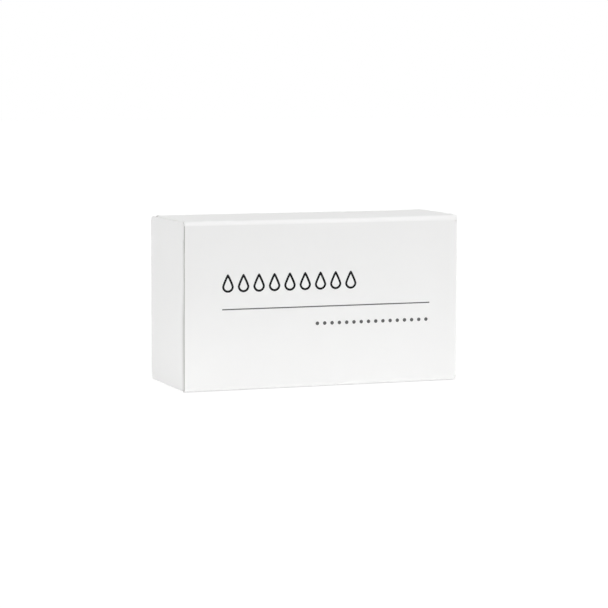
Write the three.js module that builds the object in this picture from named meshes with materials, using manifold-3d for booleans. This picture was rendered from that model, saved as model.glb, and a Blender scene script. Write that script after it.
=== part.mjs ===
// A boxed shower cap: a reverse tuck end carton of white board with the folded film cap inside it.
// Millimetres, +Z up. The origin is the middle of the base, the front panel faces -Y and the
// carton's long side runs along X. The left end is hinged on the back panel and tucks in behind
// the front panel. The right end is the same end turned half round.
import * as THREE from "three";
import { mergeVertices } from "three/addons/utils/BufferGeometryUtils.js";
import Module from "manifold-3d";

const wasm = await Module();
wasm.setup();

// Carton, over its outer faces
const CARTON_LENGTH = 70;
const CARTON_DEPTH = 28.5;
const CARTON_HEIGHT = 40.5;
const BOARD = 0.45;
const FOLD_INNER_RADIUS = 0.65; // the four long folds of the tube
const CREASE_INNER_RADIUS = 0.45; // the creases that the end flaps turn on
const TUCK_INNER_RADIUS = 0.15; // the sharper crease between a closure and its tuck tab
const HINGE_GAP = 0.3; // left open along a crease that moves

// Glue seam, inside the base at the back
const GLUE_FLAP_WIDTH = 12;
const GLUE_FLAP_TAPER = 15; // degrees, at both ends
const GLUE_FLAP_END_GAP = 2.3; // short of the carton's end
const GLUE_THICKNESS = 0.12;
const GLUE_MARGIN = 1.5; // bare board round the glue
const SEAM_SETBACK = 0.2; // cut edge of the base, short of the back face

// End flaps
const CLOSURE_SIDE_GAP = 0.15; // closure panel, short of the top and the base
const CLOSURE_CORNER_CUT = 0.65; // its corners beside the crease, at 45 degrees
const CLOSURE_CREASE_GAP = 0.15; // its crease, short of the long folds
const FLAP_STACK_GAP = 0.3; // closure panel to the dust flaps under it
const TAB_CLEARANCE = 0.7; // tuck tab to the panel that it slides behind
const TAB_LENGTH = 13; // from the closed end's outer face
const TAB_SIDE_GAP = 1.45; // narrower than its closure panel, each side
const TAB_TAPER = 1.2; // narrower at its free edge, each side
const TAB_CORNER_RADIUS = 7;
const SLIT_LOCK = 4.1; // cut in from each end of the tuck crease
const DUST_MEETING_GAP = 5.5; // between the free edges of the two dust flaps
const DUST_HINGE_SETBACK = 2.6; // from the face that carries the closure
const DUST_TUCK_SETBACK = 1.3; // from the tuck tab
const DUST_HINGE_TAPER = 35; // degrees
const DUST_TUCK_TAPER = 8; // degrees
const DUST_CORNER_RADIUS = 3;
const DUST_RELIEF = 0.35; // cut beside a dust flap's crease

// Folded cap
const FILM_STACK = 0.25; // one pass of the folded film, several layers thick
const FILM_PASSES = 16;
const FILM_END_GAP = 3.8; // room to slide, to the dust flaps at each end
const FILM_SIDE_GAP = 0.9; // to the tuck tabs
const FILM_FOLD_STAGGER = 1.6; // uneven height of the upper folds
const SEAT_GAP = 0.3; // under a soft piece that rests on another
const HEADSPACE = 6.5; // free above the elastic
const ELASTIC_DIAMETER = 2.4;
const ELASTIC_STRAND_GAP = 1.2;
const ELASTIC_TURN_RADIUS = 5; // bend of the doubled loop
const ELASTIC_END_GAP = 5; // from the ends of the folded film

// Faceting
const FACET_ANGLE = 15; // degrees of a fold in one facet
const CORNER_SEGMENTS = 6;
const ELASTIC_STEPS = 120;
const ELASTIC_SIDES = 8;
const WELD = 1e-5;

const radians = THREE.MathUtils.degToRad;
const degrees = THREE.MathUtils.radToDeg;

// Places that several pieces share
const halfLength = CARTON_LENGTH / 2;
const halfDepth = CARTON_DEPTH / 2;
const foldRadius = FOLD_INNER_RADIUS + BOARD;
const creaseRadius = CREASE_INNER_RADIUS + BOARD;
const tuckRadius = TUCK_INNER_RADIUS + BOARD;
const gapAngle = degrees(Math.asin(HINGE_GAP / 2 / (CREASE_INNER_RADIUS + BOARD / 2)));
const halfCrease = 45 - gapAngle; // degrees of a crease on each side of its gap
const leftFace = -halfLength;
const dustFace = leftFace + BOARD + FLAP_STACK_GAP;
const tabFace = -halfDepth + BOARD + TAB_CLEARANCE;
const tabInnerFace = tabFace + BOARD;
const glueFlapFace = BOARD + GLUE_THICKNESS;
const seamTop = glueFlapFace + foldRadius;
const dustHingeEdge = halfDepth - DUST_HINGE_SETBACK;
const dustTuckEdge = tabInnerFace + DUST_TUCK_SETBACK;
const dustLength = (CARTON_HEIGHT - DUST_MEETING_GAP) / 2;

const coatedBoard = { color: 0xf3f3f1, roughness: 0.55, metalness: 0 };
const driedGlue = { color: 0xe9e4d4, roughness: 0.4, metalness: 0 };
const clearFilm = { color: 0xe6edf0, roughness: 0.3, metalness: 0 };
const wovenElastic = { color: 0xf6f5f0, roughness: 0.85, metalness: 0 };

// The section of a bent strip: a walk along one face of it, with the strip on the left (side 1) or
// on the right (side -1). A step is a straight run, or a fold in degrees, positive towards the
// strip, whose radius is that of the face inside the bend.
function bentStrip({ start, heading, side, thickness, steps }) {
  const at = new THREE.Vector2(...start);
  const along = new THREE.Vector2(1, 0).rotateAround(new THREE.Vector2(), radians(heading));
  const face = [];
  const back = [];
  const mark = () => {
    const inward = new THREE.Vector2(-along.y, along.x).multiplyScalar(side);
    face.push(at.clone());
    back.unshift(at.clone().addScaledVector(inward, thickness));
  };
  mark();
  for (const { run, fold, radius } of steps) {
    if (run !== undefined) {
      at.addScaledVector(along, run);
      mark();
      continue;
    }
    const facets = Math.ceil(Math.abs(fold) / FACET_ANGLE);
    const turn = radians(side * fold);
    const faceRadius = fold > 0 ? radius + thickness : radius;
    const toCentre = new THREE.Vector2(-along.y, along.x).multiplyScalar(Math.sign(turn));
    const centre = at.clone().addScaledVector(toCentre, faceRadius);
    for (let facet = 0; facet < facets; facet += 1) {
      at.rotateAround(centre, turn / facets);
      along.rotateAround(new THREE.Vector2(), turn / facets);
      mark();
    }
  }
  return new THREE.Shape([...face, ...back]);
}

// A section pushed along an axis. Its two coordinates are y and z for axis x, x and z for axis y,
// and x and y for axis z.
function prism(shape, axis, from, to) {
  const unit = {
    x: new THREE.Vector3(1, 0, 0),
    y: new THREE.Vector3(0, 1, 0),
    z: new THREE.Vector3(0, 0, 1),
  };
  const place = new THREE.Matrix4();
  if (axis === "x") place.makeBasis(unit.y, unit.z, unit.x).setPosition(from, 0, 0);
  if (axis === "y") place.makeBasis(unit.x, unit.z, unit.y.clone().negate()).setPosition(0, to, 0);
  if (axis === "z") place.setPosition(0, 0, from);
  const options = { depth: to - from, bevelEnabled: false, curveSegments: CORNER_SEGMENTS };
  return new THREE.ExtrudeGeometry(shape, options).applyMatrix4(place);
}

function block(low, high) {
  const size = new THREE.Vector3().subVectors(high, low);
  const middle = new THREE.Vector3().addVectors(low, high).multiplyScalar(0.5);
  return new THREE.BoxGeometry(size.x, size.y, size.z).translate(middle.x, middle.y, middle.z);
}

function toSolid(geometry) {
  const bare = geometry.clone();
  bare.deleteAttribute("normal");
  bare.deleteAttribute("uv");
  const welded = mergeVertices(bare, WELD);
  const mesh = new wasm.Mesh({
    numProp: 3,
    vertProperties: new Float32Array(welded.attributes.position.array),
    triVerts: new Uint32Array(welded.index.array),
  });
  return new wasm.Manifold(mesh);
}

function toGeometry(solid) {
  const mesh = solid.getMesh();
  const geometry = new THREE.BufferGeometry();
  geometry.setAttribute("position", new THREE.BufferAttribute(mesh.vertProperties, 3));
  geometry.setIndex(new THREE.BufferAttribute(mesh.triVerts, 1));
  geometry.computeVertexNormals();
  return geometry;
}

function piece(name, geometry, finish) {
  const mesh = new THREE.Mesh(geometry, new THREE.MeshStandardMaterial(finish));
  mesh.name = name;
  return mesh;
}

// A corner list with the chosen corners rounded, as one closed outline.
function roundedOutline(corners) {
  const outline = new THREE.Shape();
  corners.forEach(({ at, radius = 0 }, index) => {
    const corner = new THREE.Vector2(...at);
    const before = new THREE.Vector2(...corners.at(index - 1).at).sub(corner).normalize();
    const after = new THREE.Vector2(...corners[(index + 1) % corners.length].at).sub(corner).normalize();
    const setback = radius / Math.tan(Math.acos(before.dot(after)) / 2);
    const enter = corner.clone().addScaledVector(before, setback);
    const leave = corner.clone().addScaledVector(after, setback);
    if (index === 0) outline.moveTo(enter.x, enter.y);
    else outline.lineTo(enter.x, enter.y);
    if (radius > 0) outline.quadraticCurveTo(corner.x, corner.y, leave.x, leave.y);
  });
  outline.closePath();
  return outline;
}

// Front and back panels, drawn as the back panel: its left edge is half of the left closure's
// crease, and its right edge is a plain cut.
function sidePanel(low, high) {
  const section = bentStrip({
    start: [halfLength, halfDepth],
    heading: 180,
    side: 1,
    thickness: BOARD,
    steps: [
      { run: CARTON_LENGTH - creaseRadius },
      { fold: halfCrease, radius: CREASE_INNER_RADIUS },
    ],
  });
  return prism(section, "z", low, high);
}

// The top and the base end in a cut edge between the long folds, which reach the carton's ends. Half
// of a dust flap's crease is let into that edge. One end is drawn at the left, and turned half round
// for the right.
function letInDustCreases(panel, up) {
  const outerFace = up > 0 ? CARTON_HEIGHT : 0;
  const creaseStart = dustFace + creaseRadius;
  const overlap = BOARD;
  const section = bentStrip({
    start: [creaseStart + overlap, outerFace],
    heading: 180,
    side: up,
    thickness: BOARD,
    steps: [{ run: overlap }, { fold: halfCrease, radius: CREASE_INNER_RADIUS }],
  });
  const crease = prism(section, "y", dustTuckEdge, dustHingeEdge);
  const setback = block(
    new THREE.Vector3(leftFace - BOARD, foldRadius - halfDepth, outerFace - foldRadius),
    new THREE.Vector3(dustFace, halfDepth - foldRadius, outerFace + foldRadius),
  );
  const notch = block(
    new THREE.Vector3(leftFace, dustTuckEdge - DUST_RELIEF, outerFace - foldRadius),
    new THREE.Vector3(creaseStart, dustHingeEdge + DUST_RELIEF, outerFace + foldRadius),
  );
  let solid = toSolid(panel);
  for (const turn of [0, Math.PI]) {
    solid = solid.subtract(toSolid(setback.clone().rotateZ(turn)));
    solid = solid.subtract(toSolid(notch.clone().rotateZ(turn)));
    solid = solid.add(toSolid(crease.clone().rotateZ(turn)));
  }
  return toGeometry(solid);
}

function topPanel() {
  const section = bentStrip({
    start: [-halfDepth, CARTON_HEIGHT - foldRadius],
    heading: 90,
    side: -1,
    thickness: BOARD,
    steps: [
      { fold: 90, radius: FOLD_INNER_RADIUS },
      { run: CARTON_DEPTH - 2 * foldRadius },
      { fold: 90, radius: FOLD_INNER_RADIUS },
    ],
  });
  return letInDustCreases(prism(section, "x", -halfLength, halfLength), 1);
}

function bottomPanel() {
  const section = bentStrip({
    start: [halfDepth - SEAM_SETBACK, 0],
    heading: 180,
    side: -1,
    thickness: BOARD,
    steps: [
      { run: CARTON_DEPTH - SEAM_SETBACK - foldRadius },
      { fold: 90, radius: FOLD_INNER_RADIUS },
    ],
  });
  return letInDustCreases(prism(section, "x", -halfLength, halfLength), -1);
}

// The glue flap folds in under the back panel and lies on the base, with its ends cut slanting.
const glueFlapHalfLength = halfLength - GLUE_FLAP_END_GAP;
const glueFlapEdge = halfDepth - GLUE_FLAP_WIDTH;
const glueFlapSlant = Math.tan(radians(GLUE_FLAP_TAPER)) * (GLUE_FLAP_WIDTH - foldRadius);

function glueFlap() {
  const section = bentStrip({
    start: [halfDepth, seamTop],
    heading: 270,
    side: -1,
    thickness: BOARD,
    steps: [
      { fold: 90, radius: FOLD_INNER_RADIUS },
      { run: GLUE_FLAP_WIDTH - foldRadius },
    ],
  });
  const strip = prism(section, "x", -glueFlapHalfLength, glueFlapHalfLength);
  const outline = roundedOutline([
    { at: [glueFlapHalfLength, halfDepth + BOARD] },
    { at: [-glueFlapHalfLength, halfDepth + BOARD] },
    { at: [-glueFlapHalfLength, halfDepth - foldRadius] },
    { at: [glueFlapSlant - glueFlapHalfLength, glueFlapEdge - BOARD] },
    { at: [glueFlapHalfLength - glueFlapSlant, glueFlapEdge - BOARD] },
    { at: [glueFlapHalfLength, halfDepth - foldRadius] },
  ]);
  return toGeometry(toSolid(strip).intersect(toSolid(prism(outline, "z", 0, seamTop + BOARD))));
}

function seamGlue() {
  const reach = glueFlapHalfLength - glueFlapSlant - GLUE_MARGIN;
  return block(
    new THREE.Vector3(-reach, glueFlapEdge + GLUE_MARGIN, BOARD),
    new THREE.Vector3(reach, halfDepth - foldRadius - GLUE_MARGIN, glueFlapFace),
  );
}

// One closed end, drawn at the left of the carton. The tuck crease is slit at both ends, where the
// edges of the dust flaps catch.
const tabCreaseCentre = new THREE.Vector2(leftFace + tuckRadius, tabFace + tuckRadius);

function closurePanel() {
  const creaseCentre = new THREE.Vector2(leftFace + creaseRadius, halfDepth - creaseRadius);
  const gapEdge = 180 - halfCrease;
  const start = new THREE.Vector2(creaseRadius, 0)
    .rotateAround(new THREE.Vector2(), radians(gapEdge))
    .add(creaseCentre);
  const strip = (reach, ...crease) => bentStrip({
    start: start.toArray(),
    heading: gapEdge + 90,
    side: 1,
    thickness: BOARD,
    steps: [{ fold: halfCrease, radius: CREASE_INNER_RADIUS }, { run: reach }, ...crease],
  });
  const reach = creaseCentre.y - tabCreaseCentre.y;
  const toCreaseLine = (TUCK_INNER_RADIUS + BOARD / 2) * radians(45);
  const shoulder = strip(reach + toCreaseLine);
  const tucked = strip(reach, { fold: 90, radius: TUCK_INNER_RADIUS });
  const low = CLOSURE_SIDE_GAP;
  const high = CARTON_HEIGHT - CLOSURE_SIDE_GAP;
  const folded = toSolid(prism(tucked, "z", low + SLIT_LOCK, high - SLIT_LOCK))
    .add(toSolid(prism(shoulder, "z", low, low + SLIT_LOCK)))
    .add(toSolid(prism(shoulder, "z", high - SLIT_LOCK, high)));
  const creaseLow = seamTop + CLOSURE_CREASE_GAP;
  const creaseHigh = CARTON_HEIGHT - foldRadius - CLOSURE_CREASE_GAP;
  const outline = roundedOutline([
    { at: [tabFace - BOARD, low - BOARD] },
    { at: [creaseCentre.y - CLOSURE_CORNER_CUT - BOARD, low - BOARD] },
    { at: [creaseCentre.y, Math.min(low + CLOSURE_CORNER_CUT, creaseLow)] },
    { at: [creaseCentre.y, creaseLow] },
    { at: [halfDepth + BOARD, creaseLow] },
    { at: [halfDepth + BOARD, creaseHigh] },
    { at: [creaseCentre.y, creaseHigh] },
    { at: [creaseCentre.y, Math.max(high - CLOSURE_CORNER_CUT, creaseHigh)] },
    { at: [creaseCentre.y - CLOSURE_CORNER_CUT - BOARD, high + BOARD] },
    { at: [tabFace - BOARD, high + BOARD] },
  ]);
  const blank = prism(outline, "x", leftFace - BOARD, leftFace + creaseRadius + BOARD);
  return toGeometry(folded.intersect(toSolid(blank)));
}

function tuckTab() {
  const rootEdge = tabCreaseCentre.x + HINGE_GAP;
  const freeEdge = leftFace + TAB_LENGTH;
  const low = CLOSURE_SIDE_GAP + TAB_SIDE_GAP;
  const high = CARTON_HEIGHT - low;
  const radius = Math.min(TAB_CORNER_RADIUS, freeEdge - rootEdge, (high - low) / 2 - TAB_TAPER);
  const outline = roundedOutline([
    { at: [rootEdge, low] },
    { at: [freeEdge, low + TAB_TAPER], radius },
    { at: [freeEdge, high - TAB_TAPER], radius },
    { at: [rootEdge, high] },
  ]);
  return prism(outline, "y", tabFace, tabInnerFace);
}

function dustFlap(up) {
  const outerFace = up > 0 ? CARTON_HEIGHT : 0;
  const gapEdge = 180 - up * halfCrease;
  const creaseCentre = new THREE.Vector2(dustFace + creaseRadius, outerFace - up * creaseRadius);
  const start = new THREE.Vector2(creaseRadius, 0)
    .rotateAround(new THREE.Vector2(), radians(gapEdge))
    .add(creaseCentre);
  const section = bentStrip({
    start: start.toArray(),
    heading: gapEdge + up * 90,
    side: up,
    thickness: BOARD,
    steps: [
      { fold: halfCrease, radius: CREASE_INNER_RADIUS },
      { run: dustLength - creaseRadius },
    ],
  });
  const strip = prism(section, "y", dustTuckEdge, dustHingeEdge);
  const rise = dustLength - creaseRadius;
  const freeEdge = outerFace - up * dustLength;
  const hingeSlant = Math.tan(radians(DUST_HINGE_TAPER)) * rise;
  const tuckSlant = Math.tan(radians(DUST_TUCK_TAPER)) * rise;
  const outline = roundedOutline([
    { at: [dustTuckEdge, outerFace + up * BOARD] },
    { at: [dustTuckEdge, creaseCentre.y] },
    { at: [dustTuckEdge + tuckSlant, freeEdge], radius: DUST_CORNER_RADIUS },
    { at: [dustHingeEdge - hingeSlant, freeEdge], radius: DUST_CORNER_RADIUS },
    { at: [dustHingeEdge, creaseCentre.y] },
    { at: [dustHingeEdge, outerFace + up * BOARD] },
  ]);
  const blank = prism(outline, "x", leftFace, dustFace + foldRadius);
  return toGeometry(toSolid(strip).intersect(toSolid(blank)));
}

function endFlaps(end) {
  const group = new THREE.Group();
  group.add(
    piece(`${end}_closure_panel`, closurePanel(), coatedBoard),
    piece(`${end}_tuck_tab`, tuckTab(), coatedBoard),
    piece(`${end}_upper_dust_flap`, dustFlap(1), coatedBoard),
    piece(`${end}_lower_dust_flap`, dustFlap(-1), coatedBoard),
  );
  return group;
}

// The cap lies pleated across the carton's depth, its elastic rim doubled up on top of the folds.
const filmHalfLength = -dustFace - BOARD - FILM_END_GAP;
const filmFront = tabInnerFace + FILM_SIDE_GAP;
const filmBase = glueFlapFace + BOARD + SEAT_GAP;
const elasticTop = CARTON_HEIGHT - BOARD - HEADSPACE;
const filmTop = elasticTop - ELASTIC_DIAMETER - SEAT_GAP;

function foldedFilm() {
  const passes = Math.round(FILM_PASSES);
  const pitch = (-2 * filmFront - FILM_STACK) / (passes - 1);
  const innerRadius = (pitch - FILM_STACK) / 2;
  const outerRadius = innerRadius + FILM_STACK;
  const lowBend = filmBase + outerRadius;
  const highBend = (pass) => filmTop - outerRadius - FILM_FOLD_STAGGER * Math.cos(pass) ** 2;
  const steps = [{ run: highBend(0) - lowBend }];
  for (let pass = 1; pass < passes; pass += 1) {
    const goesDown = pass % 2 === 1;
    const bend = highBend(goesDown ? pass - 1 : pass);
    steps.push({ fold: goesDown ? 180 : -180, radius: innerRadius });
    steps.push({ run: bend - lowBend });
  }
  const section = bentStrip({
    start: [filmFront, lowBend],
    heading: 90,
    side: -1,
    thickness: FILM_STACK,
    steps,
  });
  return prism(section, "x", -filmHalfLength, filmHalfLength);
}

// The elastic's flattened loop is doubled back on itself, so four strands lie side by side.
function elasticBand() {
  const radius = ELASTIC_DIAMETER / 2;
  const halfPitch = (ELASTIC_DIAMETER + ELASTIC_STRAND_GAP) / 2;
  const outer = ELASTIC_TURN_RADIUS + halfPitch;
  const inner = ELASTIC_TURN_RADIUS - halfPitch;
  const legEnd = halfPitch + radius - filmHalfLength + ELASTIC_END_GAP;
  const turnCentre = filmHalfLength - ELASTIC_END_GAP - outer - radius;
  const route = new THREE.Path()
    .moveTo(legEnd, outer)
    .lineTo(turnCentre, outer)
    .absarc(turnCentre, 0, outer, Math.PI / 2, -Math.PI / 2, true)
    .lineTo(legEnd, -outer)
    .absarc(legEnd, -ELASTIC_TURN_RADIUS, halfPitch, -Math.PI / 2, -3 * Math.PI / 2, true)
    .lineTo(turnCentre, -inner)
    .absarc(turnCentre, 0, inner, -Math.PI / 2, Math.PI / 2, false)
    .lineTo(legEnd, inner)
    .absarc(legEnd, ELASTIC_TURN_RADIUS, halfPitch, -Math.PI / 2, -3 * Math.PI / 2, true);
  const height = elasticTop - radius;
  const points = route.getSpacedPoints(ELASTIC_STEPS).map(({ x, y }) => new THREE.Vector3(x, y, height));
  points.pop();
  const loop = new THREE.CatmullRomCurve3(points, true);
  return new THREE.TubeGeometry(loop, ELASTIC_STEPS, radius, ELASTIC_SIDES, true);
}

const boxedCap = new THREE.Group();
boxedCap.name = "boxed_shower_cap";

const rightEnd = endFlaps("right");
rightEnd.rotation.z = Math.PI;

boxedCap.add(
  piece("front_panel", sidePanel(foldRadius, CARTON_HEIGHT - foldRadius).rotateZ(Math.PI), coatedBoard),
  piece("back_panel", sidePanel(seamTop, CARTON_HEIGHT - foldRadius), coatedBoard),
  piece("top_panel", topPanel(), coatedBoard),
  piece("bottom_panel", bottomPanel(), coatedBoard),
  piece("glue_flap", glueFlap(), coatedBoard),
  piece("seam_glue", seamGlue(), driedGlue),
  endFlaps("left"),
  rightEnd,
  piece("cap_film", foldedFilm(), clearFilm),
  piece("elastic_band", elasticBand(), wovenElastic),
);

export default boxedCap;
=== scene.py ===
"""A boxed shower cap: a closed tuck end carton of white coated board with the folded film cap in it.

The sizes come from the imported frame. Each operator models one piece or a group of like pieces, and
the panel lists them in the order that they are made. Metres, +Z up, the front panel faces -Y.
"""
import math

import bmesh
import bpy
from bpy.props import FloatProperty, FloatVectorProperty, IntProperty, PointerProperty
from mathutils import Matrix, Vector, noise


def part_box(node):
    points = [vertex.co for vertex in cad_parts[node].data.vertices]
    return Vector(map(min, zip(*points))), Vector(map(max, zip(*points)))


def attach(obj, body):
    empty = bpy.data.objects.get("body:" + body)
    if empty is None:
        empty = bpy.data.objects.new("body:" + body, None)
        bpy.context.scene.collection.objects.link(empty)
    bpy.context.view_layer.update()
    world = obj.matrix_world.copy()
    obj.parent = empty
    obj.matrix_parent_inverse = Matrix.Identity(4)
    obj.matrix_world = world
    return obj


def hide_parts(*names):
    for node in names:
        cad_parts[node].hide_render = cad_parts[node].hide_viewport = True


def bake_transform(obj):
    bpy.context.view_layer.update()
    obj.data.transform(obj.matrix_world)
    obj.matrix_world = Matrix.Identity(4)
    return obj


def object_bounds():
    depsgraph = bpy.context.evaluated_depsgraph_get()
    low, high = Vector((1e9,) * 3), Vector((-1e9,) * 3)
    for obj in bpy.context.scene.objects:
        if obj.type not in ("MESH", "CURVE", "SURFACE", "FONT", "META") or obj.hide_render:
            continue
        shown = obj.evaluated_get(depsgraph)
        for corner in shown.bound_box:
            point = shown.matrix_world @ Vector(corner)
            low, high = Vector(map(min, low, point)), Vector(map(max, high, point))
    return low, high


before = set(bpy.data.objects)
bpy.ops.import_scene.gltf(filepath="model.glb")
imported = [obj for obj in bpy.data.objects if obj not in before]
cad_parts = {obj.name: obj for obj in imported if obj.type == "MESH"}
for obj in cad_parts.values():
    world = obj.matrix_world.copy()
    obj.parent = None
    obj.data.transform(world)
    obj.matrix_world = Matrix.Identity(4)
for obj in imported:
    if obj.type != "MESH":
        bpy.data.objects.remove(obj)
cad_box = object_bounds()

bl_info = {
    "name": "Boxed shower cap",
    "version": (1, 0, 0),
    "blender": (4, 5, 0),
    "location": "View3D > Sidebar > Boxed cap",
    "description": "Models a tuck end carton with a folded film cap inside",
    "category": "Object",
}

# Places that the frame gives
HALF_LENGTH = cad_box[1].x
HALF_DEPTH = cad_box[1].y
HEIGHT = cad_box[1].z
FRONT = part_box("front_panel")
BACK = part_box("back_panel")
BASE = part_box("bottom_panel")
GLUE_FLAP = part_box("glue_flap")
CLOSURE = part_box("left_closure_panel")
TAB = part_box("left_tuck_tab")
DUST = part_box("left_upper_dust_flap")
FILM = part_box("cap_film")
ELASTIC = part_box("elastic_band")

BOARD = TAB[1].y - TAB[0].y
FOLD = HEIGHT - FRONT[1].z
CREASE = 2 * BOARD
TUCK_CREASE = CLOSURE[1].x - CLOSURE[0].x
FLAT_HALF = HALF_DEPTH - FOLD
CREASE_EDGE = HALF_LENGTH - CREASE
DUST_FACE = -DUST[0].x
DUST_CREASE_EDGE = DUST_FACE - CREASE
END_FACE = HALF_LENGTH - BOARD * 4 / 3  # the top and the base, beside a dust flap
EAR_EDGE = HALF_LENGTH - BOARD * 1.1  # a long fold that is trimmed short
GLUE_FACE = GLUE_FLAP[0].z
SEAM_TOP = BACK[0].z
TAB_CREASE = Vector((TUCK_CREASE - HALF_LENGTH, TAB[0].y + TUCK_CREASE, 0))
HINGE_CREASE = Vector((-CREASE_EDGE, HALF_DEPTH - CREASE, 0))
TINY = 1e-6
# Marks on the points that the materials read: a painted highlight along the upper folds, and painted
# shade along the lower tuck creases and the walls' plain cut edges
PAINTED_FOLD_HIGHLIGHT_MARK = "fold"
PAINTED_TUCK_SHADE_MARK = "tuck_shade"
PAINTED_CUT_SHADE_MARK = "painted_cut_shade"

# Steps along folds, panels and the elastic
ROLL_STEPS = 14
TUCK_STEPS = 12
WALL_COLUMNS = 28
WALL_ROWS = 12
BACK_STEPS = 10
GLUE_FLAP_STEPS = 4
CLOSURE_COLUMNS = 26
CLOSURE_ROWS = 10
ROW_STEP = 0.0001
ROUTE_STEP = 0.00025

# Angles between faces at which an edge is shaded smooth, or is cut board
SMOOTH_BELOW = math.radians(20)
SHARP_ABOVE = math.radians(50)

# Half the width over which a crease bends, as a share of its inner radius
CREASE_SPREAD = 0.65

# The studio
SENSOR_WIDTH = 36
LAMP_SIZE = (0.8, 0.8)
CARD_HEIGHT = 0.0001
FLOOR_SIZE = 6
PAPER_TONE = 0.82
SHADOW_TONE = 0.11


class BoardSettings(bpy.types.PropertyGroup):
    """The carton's board, apart from the sizes that the frame gives"""

    crown: FloatProperty(
        name="Crown of the top",
        description="How far the top panel stands up in the middle of its right end",
        default=0.00072, unit="LENGTH",
    )
    bulge: FloatProperty(
        name="Bulge of the walls",
        description="How far the front and the back stand out in the middle",
        default=0.00012, unit="LENGTH",
    )
    lean: FloatProperty(
        name="Lean of the tuck",
        description="How far the lower half of a closure's tuck edge stands back from the panel",
        default=0.0004, unit="LENGTH",
    )
    dip: FloatProperty(
        name="Dip of the tuck",
        description="How far the lower half of a closure's tuck edge is pushed in",
        default=0.0002, unit="LENGTH",
    )
    dip_reach: FloatProperty(
        name="Dip's reach",
        description="From the tuck crease to where the dip starts",
        default=0.0022, unit="LENGTH",
    )
    flare: FloatProperty(
        name="Flare of the cut edge",
        description="How far the lower half of a wall's plain cut edge stands out over the tuck",
        default=0.00014, unit="LENGTH",
    )
    slit: FloatProperty(
        name="Slit lock",
        description="Cut in from each end of the tuck crease",
        default=0.0041, unit="LENGTH",
    )
    shoulder: FloatProperty(
        name="Shoulder",
        description="How far a closure's shoulders beside the slits reach past the tuck crease",
        default=0.0011, unit="LENGTH",
    )
    corner_cut: FloatProperty(
        name="Closure corner cut",
        description="Cut off the closure's corners beside its crease",
        default=0.00045, unit="LENGTH",
    )
    crease_gap: FloatProperty(
        name="Closure crease gap",
        description="From the closure's crease to the long folds",
        default=0.00004, unit="LENGTH",
    )
    cut_bevel: FloatProperty(
        name="Cut edge rounding",
        description="Rounding along the die cut edges",
        default=0.000025, unit="LENGTH",
    )
    relief: FloatProperty(
        name="Relief cut",
        description="Cut beside a dust flap's crease",
        default=0.00035, unit="LENGTH",
    )
    tab_taper: FloatProperty(
        name="Tab taper",
        description="How much narrower a tuck tab is at its free edge, each side",
        default=0.0012, unit="LENGTH",
    )
    tab_corner: FloatProperty(
        name="Tab corners",
        description="Radius of a tuck tab's free corners",
        default=0.007, unit="LENGTH",
    )
    dust_corner: FloatProperty(
        name="Dust flap corners",
        description="Radius of a dust flap's free corners",
        default=0.003, unit="LENGTH",
    )
    dust_tuck_taper: FloatProperty(
        name="Dust flap taper at the tuck",
        description="Slant of a dust flap's side beside the tuck tab",
        default=math.radians(8), subtype="ANGLE",
    )
    dust_hinge_taper: FloatProperty(
        name="Dust flap taper at the hinge",
        description="Slant of a dust flap's side beside the closure's crease",
        default=math.radians(35), subtype="ANGLE",
    )
    glue_flap_taper: FloatProperty(
        name="Glue flap taper",
        description="Slant of the glue flap's ends",
        default=math.radians(15), subtype="ANGLE",
    )
    coated: FloatVectorProperty(
        name="Coated side", description="White coated face of the board",
        default=(0.90, 0.90, 0.895), subtype="COLOR",
    )
    bare: FloatVectorProperty(
        name="Bare side", description="Uncoated inside of the board",
        default=(0.80, 0.785, 0.745), subtype="COLOR",
    )
    # Painted highlight: the whiter colour along the long upper folds stands in for the light that catches
    # them
    fold: FloatVectorProperty(
        name="Folds", description="Coated face where it is stretched over a long fold",
        default=(0.99, 0.99, 0.987), subtype="COLOR",
    )
    cut: FloatVectorProperty(
        name="Cut edge", description="Fibres along a die cut edge",
        default=(0.89, 0.885, 0.87), subtype="COLOR",
    )
    # Painted shade: the grey mixed into the tuck creases and the walls' plain cut edges stands in for the
    # shadow in the gap behind the front panel's edge
    painted_shade: FloatVectorProperty(
        name="Rubbed edge", description="Board where handling has rubbed it grey",
        default=(0.36, 0.35, 0.335), subtype="COLOR",
    )
    glue: FloatVectorProperty(
        name="Dried glue", description="Glue of the seam",
        default=(0.78, 0.72, 0.58), subtype="COLOR",
    )


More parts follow.
